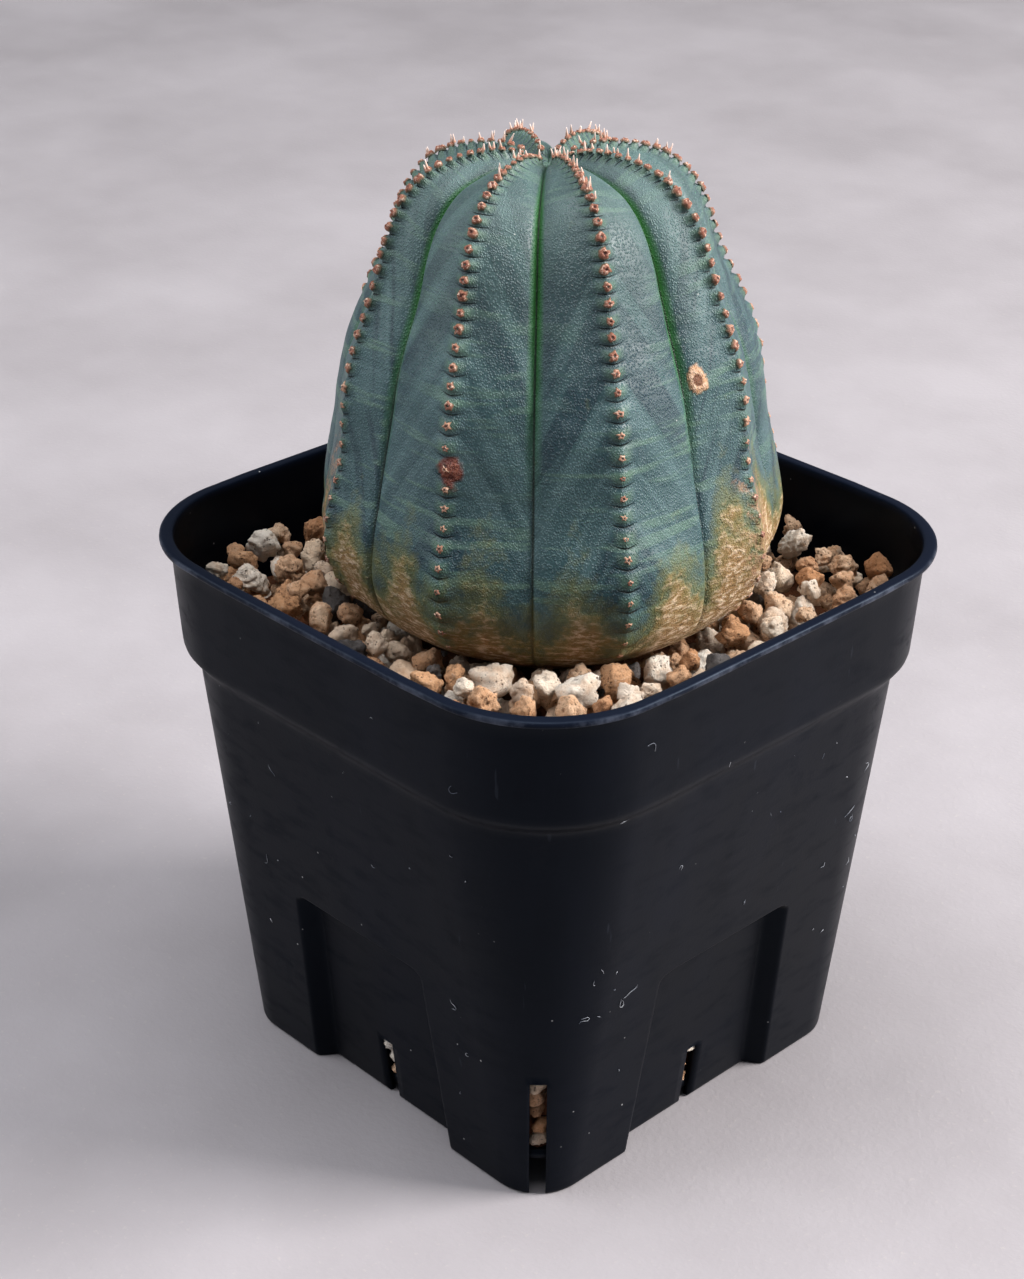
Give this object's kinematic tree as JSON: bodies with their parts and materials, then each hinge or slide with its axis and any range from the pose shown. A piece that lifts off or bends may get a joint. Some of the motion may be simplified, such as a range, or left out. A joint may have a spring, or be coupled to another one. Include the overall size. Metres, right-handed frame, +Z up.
{
  "type": "potted euphorbia",
  "caption": "Ribbed, barrel-shaped euphorbia planted in coarse gravel in a square tapered black plastic nursery pot with slitted corner feet.",
  "frame": {"origin": "middle of the pot's footprint, on the ground", "axes": "+Z up through the plant; +X and +Y square to two neighbouring sides of the pot"},
  "size_m": [0.09, 0.09, 0.1397],
  "materials": {
    "black_plastic": "satin",
    "gravel_mix": "matte",
    "euphorbia_skin": "satin",
    "fired_clay": "matte",
    "pale_pumice": "matte",
    "dark_lava": "matte"
  },
  "bodies": {
    "root": {"pot": "black_plastic", "gravel_bed": "gravel_mix", "stem": "euphorbia_skin", "clay_grain_01": "fired_clay", "clay_grain_02": "fired_clay", "clay_grain_03": "fired_clay", "clay_grain_04": "fired_clay", "clay_grain_05": "fired_clay", "clay_grain_06": "fired_clay", "clay_grain_07": "fired_clay", "clay_grain_08": "fired_clay", "clay_grain_09": "fired_clay", "clay_grain_10": "fired_clay", "clay_grain_11": "fired_clay", "clay_grain_12": "fired_clay", "clay_grain_13": "fired_clay", "clay_grain_14": "fired_clay", "clay_grain_15": "fired_clay", "clay_grain_16": "fired_clay", "clay_grain_17": "fired_clay", "clay_grain_18": "fired_clay", "clay_grain_19": "fired_clay", "clay_grain_20": "fired_clay", "clay_grain_21": "fired_clay", "clay_grain_22": "fired_clay", "clay_grain_23": "fired_clay", "clay_grain_24": "fired_clay", "clay_grain_25": "fired_clay", "clay_grain_26": "fired_clay", "clay_grain_27": "fired_clay", "clay_grain_28": "fired_clay", "clay_grain_29": "fired_clay", "clay_grain_30": "fired_clay", "lava_grain_01": "dark_lava", "lava_grain_02": "dark_lava", "lava_grain_03": "dark_lava", "pumice_grain_01": "pale_pumice", "pumice_grain_02": "pale_pumice", "pumice_grain_03": "pale_pumice", "pumice_grain_04": "pale_pumice", "pumice_grain_05": "pale_pumice", "pumice_grain_06": "pale_pumice", "pumice_grain_07": "pale_pumice", "pumice_grain_08": "pale_pumice", "pumice_grain_09": "pale_pumice", "pumice_grain_10": "pale_pumice", "pumice_grain_11": "pale_pumice", "pumice_grain_12": "pale_pumice", "pumice_grain_13": "pale_pumice", "pumice_grain_14": "pale_pumice", "pumice_grain_15": "pale_pumice", "pumice_grain_16": "pale_pumice", "pumice_grain_17": "pale_pumice", "pumice_grain_18": "pale_pumice", "pumice_grain_19": "pale_pumice"}
  },
  "joints": []
}
